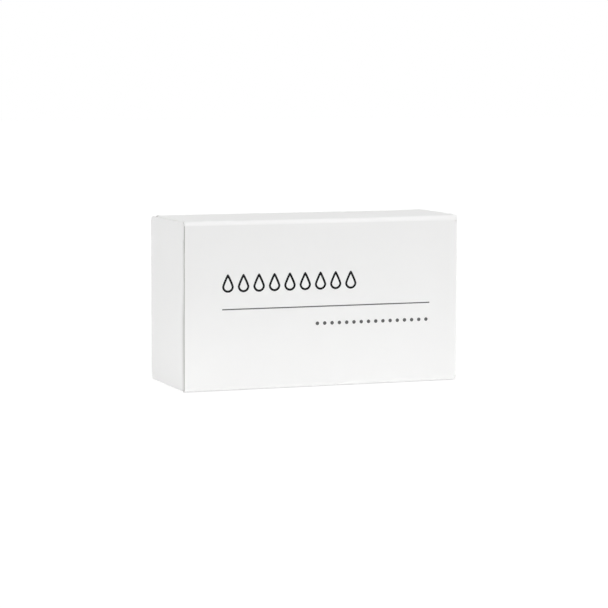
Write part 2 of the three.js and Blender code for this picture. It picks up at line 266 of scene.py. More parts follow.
class PrintSettings(bpy.types.PropertyGroup):
    """The plain printed marks on the front panel"""

    left: FloatProperty(
        name="Left margin", description="Left end of the rule and of the drops",
        default=-0.0258, unit="LENGTH",
    )
    right: FloatProperty(
        name="Right margin", description="Right end of the rule",
        default=0.0275, unit="LENGTH",
    )
    rule_height: FloatProperty(
        name="Rule height", description="Height of the rule over the base",
        default=0.0195, unit="LENGTH",
    )
    rule_width: FloatProperty(
        name="Rule width", description="Thickness of the rule",
        default=0.00028, unit="LENGTH",
    )
    drop_height: FloatProperty(
        name="Drop height", description="Height of a drop from its tip to its foot",
        default=0.0044, unit="LENGTH",
    )
    drop_foot: FloatProperty(
        name="Drops over the base", description="Height of the drops' feet over the base",
        default=0.0235, unit="LENGTH",
    )
    drop_stroke: FloatProperty(
        name="Drop stroke", description="Line width of a drop",
        default=0.00052, unit="LENGTH",
    )
    drop_pitch: FloatProperty(
        name="Drop pitch", description="From one drop to the next",
        default=0.0039, unit="LENGTH",
    )
    drops: IntProperty(
        name="Drops", description="Number of drops in the row", default=9, min=1,
    )
    dot_size: FloatProperty(
        name="Dot size", description="Diameter of a dot",
        default=0.0009, unit="LENGTH",
    )
    dot_height: FloatProperty(
        name="Dots over the base", description="Height of the dots' middle over the base",
        default=0.0154, unit="LENGTH",
    )
    dots_left: FloatProperty(
        name="Left end of the dots", description="Left edge of the first dot",
        default=-0.0022, unit="LENGTH",
    )
    dot_pitch: FloatProperty(
        name="Dot pitch", description="From one dot to the next",
        default=0.00189, unit="LENGTH",
    )
    dots: IntProperty(
        name="Dots", description="Number of dots in the row", default=16, min=1,
    )
    film: FloatProperty(
        name="Ink film", description="Thickness of the ink on the board",
        default=0.000012, unit="LENGTH",
    )
    dark: FloatVectorProperty(
        name="Dark ink", description="Ink of the drops",
        default=(0.010, 0.010, 0.011), subtype="COLOR",
    )
    grey: FloatVectorProperty(
        name="Grey ink", description="Ink of the rule and the dots",
        default=(0.13, 0.13, 0.13), subtype="COLOR",
    )


class CapSettings(bpy.types.PropertyGroup):
    """The folded film cap"""

    diameter: FloatProperty(
        name="Flat diameter", description="The cap's disc of film, laid flat",
        default=0.46, unit="LENGTH",
    )
    passes: IntProperty(
        name="Pleats", description="Pleats across the carton's depth", default=16, min=2,
    )
    layers: IntProperty(
        name="Layers", description="Layers of film in one pleat", default=8, min=2,
    )
    layer_pitch: FloatProperty(
        name="Layer pitch", description="From one layer of a pleat to the next",
        default=0.00014, unit="LENGTH",
    )
    film: FloatProperty(
        name="Film thickness", description="Thickness of the film",
        default=0.00002, unit="LENGTH",
    )
    turn_slip: FloatProperty(
        name="Uneven turns", description="How far the turns of the layers slip past each other",
        default=0.0011, unit="LENGTH",
    )
    pleat_slip: FloatProperty(
        name="Uneven pleats", description="How far the upper folds of the pleats stay down",
        default=0.0007, unit="LENGTH",
    )
    crumple: FloatProperty(
        name="Crumple", description="How far the folded film is pushed out of true",
        default=0.0010, unit="LENGTH",
    )
    seed: IntProperty(
        name="Crumple seed", description="Picks one of many like crumples", default=3, min=1,
    )
    calm_height: FloatProperty(
        name="Calm height", description="Height over the film's foot at which it crumples freely",
        default=0.006, unit="LENGTH",
    )
    strand_pitch: FloatProperty(
        name="Strand pitch", description="Between the two strands of the doubled elastic",
        default=0.0036, unit="LENGTH",
    )
    gathers: IntProperty(
        name="Gathers", description="Gathers along the elastic rim", default=150, min=1,
    )
    gather_depth: FloatProperty(
        name="Gather depth", description="Depth of the rim's gathers",
        default=0.0006, unit="LENGTH",
    )
    tint: FloatVectorProperty(
        name="Film", description="Milky film",
        default=(0.91, 0.93, 0.94), subtype="COLOR",
    )
    thread: FloatVectorProperty(
        name="Elastic", description="Covered elastic of the rim",
        default=(0.86, 0.85, 0.82), subtype="COLOR",
    )


class StageSettings(bpy.types.PropertyGroup):
    """Camera, light and floor"""

    azimuth: FloatProperty(
        name="Camera azimuth", description="Turn of the view to the carton's left",
        default=math.radians(20.10), subtype="ANGLE",
    )
    elevation: FloatProperty(
        name="Camera elevation", description="Height of the view",
        default=math.radians(5.47), subtype="ANGLE",
    )
    distance: FloatProperty(
        name="Camera distance", description="From the middle of the carton",
        default=0.5797, unit="LENGTH",
    )
    lens: FloatProperty(
        name="Lens", description="Focal length on a 36 mm sensor, in millimetres",
        default=139.32,
    )
    shift_x: FloatProperty(
        name="Sideways shift", description="Shift of the picture, as a share of its width",
        default=0.0005, precision=4,
    )
    shift_y: FloatProperty(
        name="Upward shift", description="Shift of the picture, as a share of its width",
        default=-0.0104, precision=4,
    )
    ambient: FloatProperty(
        name="Surrounding light", description="Strength of the even light from all round",
        default=0.20,
    )
    left: FloatProperty(
        name="Left lamp", description="Power of the soft lamp at the left", default=9.2, unit="POWER",
    )
    right: FloatProperty(
        name="Right lamp", description="Power of the soft lamp at the front right",
        default=11.5, unit="POWER",
    )
    overhead: FloatProperty(
        name="Overhead lamp", description="Power of the soft lamp over the carton",
        default=7.6, unit="POWER",
    )
    bounce: FloatProperty(
        name="Front card", description="Power of the white card on the floor before the carton",
        default=0.0099, unit="POWER",
    )
    side_bounce: FloatProperty(
        name="Side card", description="Power of the white card on the floor at the left end",
        default=0.0014, unit="POWER",
    )


SETTINGS = {
    "boxed_board": BoardSettings,
    "boxed_print": PrintSettings,
    "boxed_cap": CapSettings,
    "boxed_stage": StageSettings,
}


# Modelling helpers

def pick(piece, test, kind="EDGE"):
    """Selects the vertices, edges or faces whose corners all pass a test of their place."""
    bpy.ops.mesh.select_mode(type=kind)
    bpy.ops.mesh.select_all(action="DESELECT")
    mesh = bmesh.from_edit_mesh(piece.data)
    parts = {"VERT": mesh.verts, "EDGE": mesh.edges, "FACE": mesh.faces}[kind]
    for part in parts:
        corners = [part] if kind == "VERT" else part.verts
        if all(test(corner.co) for corner in corners):
            part.select_set(True)
    mesh.select_flush_mode()
    bmesh.update_edit_mesh(piece.data)


def near(value, target):
    """Whether two places on an axis are the same."""
    return abs(value - target) < TINY


def take(piece):
    """Makes a piece the only one selected, and the active one."""
    bpy.ops.object.select_all(action="DESELECT")
    piece.select_set(True)
    bpy.context.view_layer.objects.active = piece


def pull(offset):
    """Draws the picked edges out as new board."""
    bpy.ops.mesh.extrude_edges_move(TRANSFORM_OT_translate={"value": offset})


def roll(axis, centre, degrees, steps=ROLL_STEPS):
    """Rolls the picked edges round an axis, right-handed, as a fold of the board."""
    bpy.ops.mesh.spin(steps=steps, angle=-math.radians(degrees), center=centre, axis=axis)


def flat_board(name, facing, low, high, columns=1, rows=1):
    """A flat sheet between two corners that faces the front (-Y) or the left (-X), in edit mode."""
    bpy.ops.object.select_all(action="DESELECT")
    across = high - low
    turn = {"front": 0.0, "left": -math.pi / 2}[facing]
    width = across.x if facing == "front" else across.y
    bpy.ops.mesh.primitive_grid_add(
        x_subdivisions=columns, y_subdivisions=rows, size=1,
        location=(low + high) / 2, rotation=(math.pi / 2, 0, turn),
    )
    board = bpy.context.object
    board.name = name
    board.scale = (width, across.z, 1)
    bpy.ops.object.transform_apply(location=True, rotation=True, scale=True)
    bpy.ops.object.mode_set(mode="EDIT")
    return board


def round_corners(piece, test, radius, segments=8):
    """Rounds the picked corners of a flat sheet."""
    pick(piece, test, "VERT")
    bpy.ops.mesh.bevel(
        offset_type="OFFSET", offset=radius, segments=segments, affect="VERTICES", clamp_overlap=False,
    )


def close_folds(piece, outward):
    """Merges the folded sheet's seams and turns its coated side outwards."""
    bpy.ops.mesh.select_mode(type="FACE")
    bpy.ops.mesh.select_all(action="SELECT")
    bpy.ops.mesh.remove_doubles(threshold=TINY)
    bpy.ops.mesh.normals_make_consistent(inside=False)
    mesh = bmesh.from_edit_mesh(piece.data)
    turned = [face.normal.dot(outward) for face in mesh.faces]
    square_on = 0.99
    if sum(facing for facing in turned if abs(facing) > square_on) < 0:
        bpy.ops.mesh.flip_normals()
    bpy.ops.object.mode_set(mode="OBJECT")


def apply_modifier(piece, kind, **values):
    """Adds a modifier with these values and applies it."""
    take(piece)
    modifier = piece.modifiers.new(kind.title(), kind)
    for name, value in values.items():
        setattr(modifier, name, value)
    bpy.ops.object.modifier_apply(modifier=modifier.name)


def move_points(piece, place):
    """Moves every point of a piece to where a formula puts it."""
    for point in piece.data.vertices:
        point.co = place(point.co.copy())
    piece.data.update()


def mark_cut_edges(piece, joined):
    """Weighs the sharp edges for the bevel, apart from those where two pieces join in a crease."""
    mesh = bmesh.new()
    mesh.from_mesh(piece.data)
    weight = mesh.edges.layers.float.new("bevel_weight_edge")
    for edge in mesh.edges:
        sharp = edge.calc_face_angle(0.0) > SHARP_ABOVE
        in_crease = all(joined(corner.co) for corner in edge.verts)
        edge[weight] = 1.0 if sharp and not in_crease else 0.0
    mesh.to_mesh(piece.data)
    mesh.free()


def give_board_thickness(piece, joined):
    """Turns a folded sheet into board: coated outside, bare inside, fibres along the cut edges."""
    settings = bpy.context.scene.boxed_board
    for material in (coated_board(), bare_board(), cut_edge()):
        piece.data.materials.append(material)
    apply_modifier(
        piece, "SOLIDIFY", thickness=BOARD, offset=-1, use_even_offset=True,
        use_quality_normals=True, material_offset=1, material_offset_rim=2,
    )
    mark_cut_edges(piece, joined)
    apply_modifier(
        piece, "BEVEL", width=settings.cut_bevel, segments=2, limit_method="WEIGHT",
        use_clamp_overlap=True,
    )
    bpy.ops.object.shade_smooth_by_angle(angle=SMOOTH_BELOW)


def mark_points(piece, name, share):
    """Gives every point of a piece a share from 0 to 1 that its material reads."""
    mark = piece.data.attributes.new(name, "FLOAT", "POINT")
    for point, value in zip(piece.data.vertices, mark.data):
        value.value = share(point.co)


def half_turned(piece, name):
    """A copy of a left end's piece, turned half round to the right end."""
    take(piece)
    bpy.ops.object.duplicate(linked=False)
    twin = bpy.context.object
    twin.name = name
    bpy.ops.transform.rotate(value=math.pi, orient_axis="Z", center_override=(0, 0, 0))
    bpy.ops.object.transform_apply(location=True, rotation=True, scale=True)
    return twin


# Small departures from true, as on a carton that has been handled, and the painted shade along the tuck
# creases

def blend_share(value, low, high):
    """Rises smoothly from 0 at low to 1 at high."""
    share = min(max((value - low) / (high - low), 0.0), 1.0)
    return share * share * (3 - 2 * share)


def crowned(place):
    """The top panel, and what hangs on it, stands up in the middle, and most at the right end."""
    settings = bpy.context.scene.boxed_board
    towards_back = place.y > 0
    to_edge = place.y / FLAT_HALF if towards_back else -place.y / HALF_DEPTH
    steepness = 2.5 if towards_back else 7
    across = max(0.0, 1 - to_edge ** steepness)
    to_right = (place.x / HALF_LENGTH + 1) / 2
    left_share = 0.1
    along = left_share + (1 - left_share) * to_right ** 6
    reach = 6 * FOLD
    place.z += settings.crown * across * along * blend_share(place.z, HEIGHT - reach, HEIGHT)
    return place


def wall_bulge(place):
    """How far the front or back wall stands out at a place."""
    along = max(0.0, 1 - (place.x / HALF_LENGTH) ** 2)
    upward = max(0.0, 1 - (2 * place.z / HEIGHT - 1) ** 2)
    return bpy.context.scene.boxed_board.bulge * along * upward


def below_middle(place):
    """0 over the upper third of the carton, 1 under its lower third."""
    return blend_share(place.z, HEIGHT * 0.65, HEIGHT * 0.35)


def leaning(place):
    """The lower half of a left closure's tuck edge stands back from the front panel and dips in."""
    settings = bpy.context.scene.boxed_board
    reach = blend_share(place.y, HINGE_CREASE.y, TAB_CREASE.y)
    edge = blend_share(place.y, TAB_CREASE.y + settings.dip_reach, TAB_CREASE.y)
    below = below_middle(place)
    held_by_shoulder = 0.6 * blend_share(place.z, HEIGHT * 0.16, HEIGHT * 0.06)
    free = 1 - held_by_shoulder
    place.y += settings.lean * reach * below * free
    place.x += settings.dip * edge * below * free
    return place


def painted_tuck_shade(place):
    """How much painted shade darkens the lower half of a left tuck crease, standing in for the shadow in
    the gap behind the front panel's edge.
    """
    across = blend_share(place.y, TAB_CREASE.y + 2 * TUCK_CREASE, TAB_CREASE.y - TUCK_CREASE)
    inside = blend_share(place.x, TAB_CREASE.x + 3 * TUCK_CREASE, TAB_CREASE.x + TUCK_CREASE)
    return below_middle(place) * across * inside


# Materials

def new_material(name):
    """A node material with only its output and a Principled shader."""
    material = bpy.data.materials.new(name)
    material.use_nodes = True
    tree = material.node_tree
    return material, tree, tree.nodes["Principled BSDF"]


def two_tones(tree, dark, light, dark_at=0.0, light_at=1.0):
    """A ramp from one colour to another."""
    ramp = tree.nodes.new("ShaderNodeValToRGB")
    for element, colour, position in zip(ramp.color_ramp.elements, (dark, light), (dark_at, light_at)):
        element.position = position
        element.color = (*colour, 1)
    return ramp


def darkened(colour, share):
    """A colour with a share of its light taken off."""
    return [part * (1 - share) for part in colour]


def add_node(tree, kind, **inputs):
    """A new node with these input values."""
    node = tree.nodes.new(kind)
    for name, value in inputs.items():
        node.inputs[name.replace("_", " ")].default_value = value
    return node


def wire(tree, *rows):
    """Links nodes. A row is a node, its output, the next node and that one's input."""
    for source, output, target, entry in rows:
        tree.links.new(source.outputs[output], target.inputs[entry])


def fibre_group():
    """Paper fibre: a cloudy mottle, finer flecks and the height of a board's surface."""
    if "Paper fibre" in bpy.data.node_groups:
        return bpy.data.node_groups["Paper fibre"]
    group = bpy.data.node_groups.new("Paper fibre", "ShaderNodeTree")
    for name, value in (("Cloud Scale", 90.0), ("Fleck Scale", 2200.0), ("Fleck Share", 0.4)):
        socket = group.interface.new_socket(name, in_out="INPUT", socket_type="NodeSocketFloat")
        socket.default_value = value
    for name in ("Mottle", "Height"):
        group.interface.new_socket(name, in_out="OUTPUT", socket_type="NodeSocketFloat")
    entry = group.nodes.new("NodeGroupInput")
    leave = group.nodes.new("NodeGroupOutput")
    place = group.nodes.new("ShaderNodeTexCoord")
    cloud = add_node(group, "ShaderNodeTexNoise", Detail=3.0, Roughness=0.55)
    fleck = add_node(group, "ShaderNodeTexNoise", Detail=4.0, Roughness=0.6)
    mix = group.nodes.new("ShaderNodeMix")
    wire(
        group,
        (place, "Object", cloud, "Vector"),
        (place, "Object", fleck, "Vector"),
        (entry, "Cloud Scale", cloud, "Scale"),
        (entry, "Fleck Scale", fleck, "Scale"),
        (entry, "Fleck Share", mix, "Factor"),
        (cloud, "Fac", mix, "A"),
        (fleck, "Fac", mix, "B"),
        (mix, "Result", leave, "Mottle"),
        (fleck, "Fac", leave, "Height"),
    )
    return group


def board_material(name, colour, depth, rough, clouds, flecks, fleck_share, relief):
    """Board whose colour and gloss vary with its fibre.

    depth is how far the colour darkens, rough the range of its roughness, clouds and flecks how
    many there are to a metre, and relief the strength and the depth of its bumps.
    """
    if name in bpy.data.materials:
        return bpy.data.materials[name]
    material, tree, shader = new_material(name)
    fibre = tree.nodes.new("ShaderNodeGroup")
    fibre.node_tree = fibre_group()
    fibre.inputs["Cloud Scale"].default_value = clouds
    fibre.inputs["Fleck Scale"].default_value = flecks
    fibre.inputs["Fleck Share"].default_value = fleck_share
    tone = two_tones(tree, darkened(colour, depth), colour, 0.3, 0.7)
    gloss = add_node(tree, "ShaderNodeMapRange", To_Min=rough[0], To_Max=rough[1])
    bump = add_node(tree, "ShaderNodeBump", Strength=relief[0], Distance=relief[1])
    wire(
        tree,
        (fibre, "Mottle", tone, "Fac"),
        (tone, "Color", shader, "Base Color"),
        (fibre, "Mottle", gloss, "Value"),
        (gloss, "Result", shader, "Roughness"),
        (fibre, "Height", bump, "Height"),
        (bump, "Normal", shader, "Normal"),
    )
    shader.inputs["Specular IOR Level"].default_value = 0.12
    return material


def mix_by_mark(material, mark_name, colour, strength):
    """Mixes a colour into a board where a mark on its points asks for it."""
    tree = material.node_tree
    shader = tree.nodes["Principled BSDF"]
    mark = tree.nodes.new("ShaderNodeAttribute")
    mark.attribute_name = mark_name
    share = tree.nodes.new("ShaderNodeMath")
    share.operation = "MULTIPLY"
    share.inputs[1].default_value = strength
    mix = tree.nodes.new("ShaderNodeMix")
    mix.data_type = "RGBA"
    mix.inputs["B"].default_value = (*colour, 1)
    tree.links.new(shader.inputs["Base Color"].links[0].from_socket, mix.inputs["A"])
    wire(
        tree,
        (mark, "Fac", share, 0),
        (share, "Value", mix, "Factor"),
        (mix, "Result", shader, "Base Color"),
    )


def coated_board():
    """Smooth white face, with a painted highlight along the long upper folds and painted shade along the
    lower tuck creases.
    """
    name = "Coated board"
    settings = bpy.context.scene.boxed_board
    if name in bpy.data.materials:
        return bpy.data.materials[name]
    material = board_material(
        name, settings.coated, depth=0.012, rough=(0.52, 0.66),
        clouds=70, flecks=2600, fleck_share=0.3, relief=(0.10, 0.00003),
    )
    mix_by_mark(material, PAINTED_FOLD_HIGHLIGHT_MARK, settings.fold, 1.0)
    mix_by_mark(material, PAINTED_TUCK_SHADE_MARK, settings.painted_shade, 0.51)
    return material


def bare_board():
    """Dull, fibrous inside of the board."""
    colour = bpy.context.scene.boxed_board.bare
    return board_material(
        "Bare board", colour, depth=0.07, rough=(0.82, 0.95),
        clouds=220, flecks=3200, fleck_share=0.6, relief=(0.35, 0.00005),
    )


def cut_edge():
    """Fibres of a cut edge, with painted shade along a wall's plain cut edge."""
    name = "Cut board edge"
    settings = bpy.context.scene.boxed_board
    if name in bpy.data.materials:
        return bpy.data.materials[name]
    material = board_material(
        name, settings.cut, depth=0.12, rough=(0.85, 1.0),
        clouds=900, flecks=9000, fleck_share=0.6, relief=(0.5, 0.00004),
    )
    mix_by_mark(material, PAINTED_CUT_SHADE_MARK, settings.painted_shade, 1.0)
    return material


def dried_glue():
    """Glossy, uneven glue."""
    colour = bpy.context.scene.boxed_board.glue
    return board_material(
        "Dried glue", colour, depth=0.15, rough=(0.25, 0.5),
        clouds=180, flecks=900, fleck_share=0.5, relief=(0.4, 0.0001),
    )


def ink(name, colour):
    """Printed ink that lets a little of the board's fibre through."""
    return board_material(
        name, colour, depth=0.2, rough=(0.45, 0.6),
        clouds=400, flecks=2600, fleck_share=0.5, relief=(0.08, 0.00003),
    )


def milky_film():
    """Thin milky film, creased and glossy."""
    if "Milky film" in bpy.data.materials:
        return bpy.data.materials["Milky film"]
    tint = bpy.context.scene.boxed_cap.tint
    material, tree, shader = new_material("Milky film")
    place = tree.nodes.new("ShaderNodeTexCoord")
    crease = add_node(tree, "ShaderNodeTexNoise", Scale=420.0, Detail=5.0, Roughness=0.6, Distortion=0.8)
    haze = add_node(tree, "ShaderNodeTexNoise", Scale=60.0, Detail=2.0)
    tone = two_tones(tree, darkened(tint, 0.07), tint)
    gloss = add_node(tree, "ShaderNodeMapRange", To_Min=0.12, To_Max=0.34)
    cover = add_node(tree, "ShaderNodeMapRange", To_Min=0.62, To_Max=0.92)
    bump = add_node(tree, "ShaderNodeBump", Strength=0.5, Distance=0.0002)
    wire(
        tree,
        (place, "Object", crease, "Vector"),
        (place, "Object", haze, "Vector"),
        (haze, "Fac", tone, "Fac"),
        (tone, "Color", shader, "Base Color"),
        (crease, "Fac", gloss, "Value"),
        (gloss, "Result", shader, "Roughness"),
        (crease, "Fac", cover, "Value"),
        (cover, "Result", shader, "Alpha"),
        (crease, "Fac", bump, "Height"),
        (bump, "Normal", shader, "Normal"),
    )
    shader.inputs["Specular IOR Level"].default_value = 0.55
    return material


def covered_elastic():
    """Elastic thread with a ribbed yarn cover, along the piece's own UV."""
    colour = bpy.context.scene.boxed_cap.thread
    material, tree, shader = new_material("Covered elastic")
    along = tree.nodes.new("ShaderNodeUVMap")
    along.uv_map = "UVMap"
    ribs = add_node(tree, "ShaderNodeTexWave", Scale=1.0, Distortion=0.6, Detail=2.0)
    ribs.bands_direction = "DIAGONAL"
    tone = two_tones(tree, darkened(colour, 0.28), colour)
    bump = add_node(tree, "ShaderNodeBump", Strength=0.8, Distance=0.0002)
    wire(
        tree,
        (along, "UV", ribs, "Vector"),
        (ribs, "Color", tone, "Fac"),
        (tone, "Color", shader, "Base Color"),
        (ribs, "Color", bump, "Height"),
        (bump, "Normal", shader, "Normal"),
    )
    shader.inputs["Roughness"].default_value = 0.85
    shader.inputs["Sheen Weight"].default_value = 0.2
    return material


# The carton

def in_dust_crease(y, end):
    """Whether a dust flap's crease covers this place of the left (-1) or right (1) end."""
    reach = (DUST[0].y, DUST[1].y) if end < 0 else (-DUST[1].y, -DUST[0].y)
    return reach[0] - TINY < y < reach[1] + TINY


def wall_end(y, end):
    """Where the front or back wall ends: at a closure's crease or at its own cut edge."""
    carries_closure = (y > 0) == (end < 0)
    return end * (CREASE_EDGE if carries_closure else HALF_LENGTH)


def sleeve_end(place, end):
    """Where the sleeve's edge lies at one end, going round the tube."""
    between_folds = abs(place.y) < FLAT_HALF - TINY
    on_seam_fold = place.y > 0 and GLUE_FACE - TINY < place.z < SEAM_TOP - TINY
    lowest = SEAM_TOP if place.y > 0 else FOLD
    mitred = end < 0 and place.y > 0 and place.z > HEIGHT / 2
    if between_folds:
        return end * (DUST_CREASE_EDGE if mitred or in_dust_crease(place.y, end) else END_FACE)
    if lowest - TINY < place.z < HEIGHT - FOLD + TINY:
        return wall_end(place.y, end)
    if mitred:
        share = math.atan2(place.y - FLAT_HALF, place.z - HEIGHT + FOLD) / (math.pi / 2)
        return end * (DUST_CREASE_EDGE * (1 - share) + CREASE_EDGE * share)
    if on_seam_fold:
        share = math.atan2(SEAM_TOP - place.z, place.y - FLAT_HALF) / (math.pi / 2)
        return wall_end(place.y, end) * (1 - share) + end * GLUE_FLAP[1].x * share
    behind_left_closure = end < 0 and place.y > 0
    under_right_crease = end > 0 and place.y < 0 and place.z < FOLD
    return end * (EAR_EDGE if behind_left_closure or under_right_crease else HALF_LENGTH)


def glue_flap_scale(place):
    """The glue flap narrows from its crease to its free edge."""
    taper = math.tan(bpy.context.scene.boxed_board.glue_flap_taper) * (FLAT_HALF - place.y)
    return (GLUE_FLAP[1].x - taper) / HALF_LENGTH


class CARTON_OT_sleeve(bpy.types.Operator):
    """Folds the four walls and the glue flap of the carton from one strip of board"""

    bl_idname = "carton.sleeve"
    bl_label = "Folded sleeve"

    def execute(self, context):
        low = Vector((-HALF_LENGTH, -HALF_DEPTH, FOLD))
        high = Vector((CREASE_EDGE, -HALF_DEPTH, HEIGHT - FOLD))
        sleeve = flat_board("carton_sleeve", "front", low, high, WALL_COLUMNS, WALL_ROWS)
        self.fold_over_the_top(sleeve)
        self.fold_under(sleeve)
        close_folds(sleeve, Vector((0, -1, 0)))
        self.trim(sleeve)
        # Painted highlight along the upper folds and painted shade along the walls' plain cut edges
        mark_points(sleeve, PAINTED_FOLD_HIGHLIGHT_MARK, self.painted_fold_highlight)
        mark_points(sleeve, PAINTED_CUT_SHADE_MARK, self.painted_cut_shade)
        move_points(sleeve, self.flared)
        move_points(sleeve, crowned)
        move_points(sleeve, self.bulged)
        give_board_thickness(sleeve, self.joined)
        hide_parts("front_panel", "top_panel", "back_panel", "bottom_panel", "glue_flap")
        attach(sleeve, "carton")
        return {"FINISHED"}

    def fold_over_the_top(self, sleeve):
        """From the front's upper edge over the top, down the back and in along the glue flap."""
        along_x = (1, 0, 0)
        pick(sleeve, lambda at: near(at.z, HEIGHT - FOLD))
        roll(along_x, (0, -FLAT_HALF, HEIGHT - FOLD), -90)
        self.run_back(self.top_rows())
        roll(along_x, (0, FLAT_HALF, HEIGHT - FOLD), -90)
        self.run_in_steps(Vector((0, 0, SEAM_TOP - HEIGHT + FOLD)), BACK_STEPS)
        roll(along_x, (0, FLAT_HALF, SEAM_TOP), -90)
        self.run_in_steps(Vector((0, GLUE_FLAP[0].y - FLAT_HALF, 0)), GLUE_FLAP_STEPS)

    def fold_under(self, sleeve):
        """From the front's lower edge back along the base to its cut edge at the seam."""
        pick(sleeve, lambda at: near(at.z, FOLD) and near(at.y, -HALF_DEPTH))
        roll((1, 0, 0), (0, -FLAT_HALF, FOLD), 90)
        self.run_back(self.top_rows() + [BASE[1].y])

    def top_rows(self):
        """Places along Y where the top and the base step back: at the folds and the dust flaps."""
        relief = bpy.context.scene.boxed_board.relief
        near_side, far_side = -DUST[0].y, DUST[1].y
        outer = [FLAT_HALF - ROW_STEP, far_side + relief, far_side, near_side]
        middle = [near_side * sixth / 6 for sixth in range(-5, 6)]
        return [-row for row in outer] + middle + outer[::-1] + [FLAT_HALF]

    def run_back(self, rows):
        """Draws the picked edge back from the front folds to each row in turn."""
        at = -FLAT_HALF
        for row in rows:
            pull((0, row - at, 0))
            at = row

    def run_in_steps(self, way, steps):
        """Draws the picked edge out in even steps."""
        for _ in range(steps):
            pull(way / steps)

    def trim(self, sleeve):
        """Cuts the ends of the strip to their outline."""
        for point in sleeve.data.vertices:
            place = point.co.copy()
            on_flap = place.y < FLAT_HALF + TINY and near(place.z, GLUE_FACE) and place.y > 0
            at_left = near(place.x, -HALF_LENGTH)
            at_right = near(place.x, CREASE_EDGE)
            if on_flap:
                point.co.x = place.x * glue_flap_scale(place)
            elif at_left:
                point.co.x = sleeve_end(place, -1)
            elif at_right:
                point.co.x = sleeve_end(place, 1)
        sleeve.data.update()

    def joined(self, place):
        """Whether the sleeve meets a closure or a dust flap in a crease here."""
        return near(abs(place.x), CREASE_EDGE) or near(abs(place.x), DUST_CREASE_EDGE)

    def painted_fold_highlight(self, place):
        """Painted highlight: 0 on a flat panel, 1 on the ridge of an upper fold, weaker towards the right
        end.
        """
        outward = max(0.0, abs(place.y) - FLAT_HALF)
        upward = max(0.0, place.z - (HEIGHT - FOLD))
        fainter_at_right = 0.4 * blend_share(place.x, HALF_LENGTH * 0.6, HALF_LENGTH)
        ridge = math.sin(2 * math.atan2(outward, upward)) if outward * upward else 0.0
        return (1 - fainter_at_right) * ridge ** 0.4

    def on_plain_cut(self, place):
        """Whether a place lies on the wall edge that the other end's closure shuts behind."""
        return abs(place.y) > FLAT_HALF and near(abs(place.x), HALF_LENGTH) and place.x * place.y > 0

    def painted_cut_shade(self, place):
        """Painted shade along a wall's plain cut edge: most beside the upper slit, none over the fold
        above it.
        """
        slit = CLOSURE[1].z - bpy.context.scene.boxed_board.slit
        fade = blend_share(place.z, HEIGHT - FOLD * 0.7, HEIGHT - FOLD)
        beside_slit = blend_share(place.z, slit - FOLD, slit)
        all_along, more_at_slit, more_below = 0.56, 0.44, 0.24
        painted_shade = all_along + more_at_slit * beside_slit + more_below * below_middle(place)
        return fade * painted_shade if self.on_plain_cut(place) else 0.0

    def flared(self, place):
        """The lower half of a plain cut edge stands out a little over the closure's tuck."""
        if self.on_plain_cut(place):
            flare = bpy.context.scene.boxed_board.flare * below_middle(place)
            place.x += math.copysign(flare, place.x)
        return place

    def bulged(self, place):
        """The front and the back stand out in the middle."""
        on_wall = near(abs(place.y), HALF_DEPTH)
        if on_wall:
            place.y += math.copysign(wall_bulge(place), place.y)
        return place


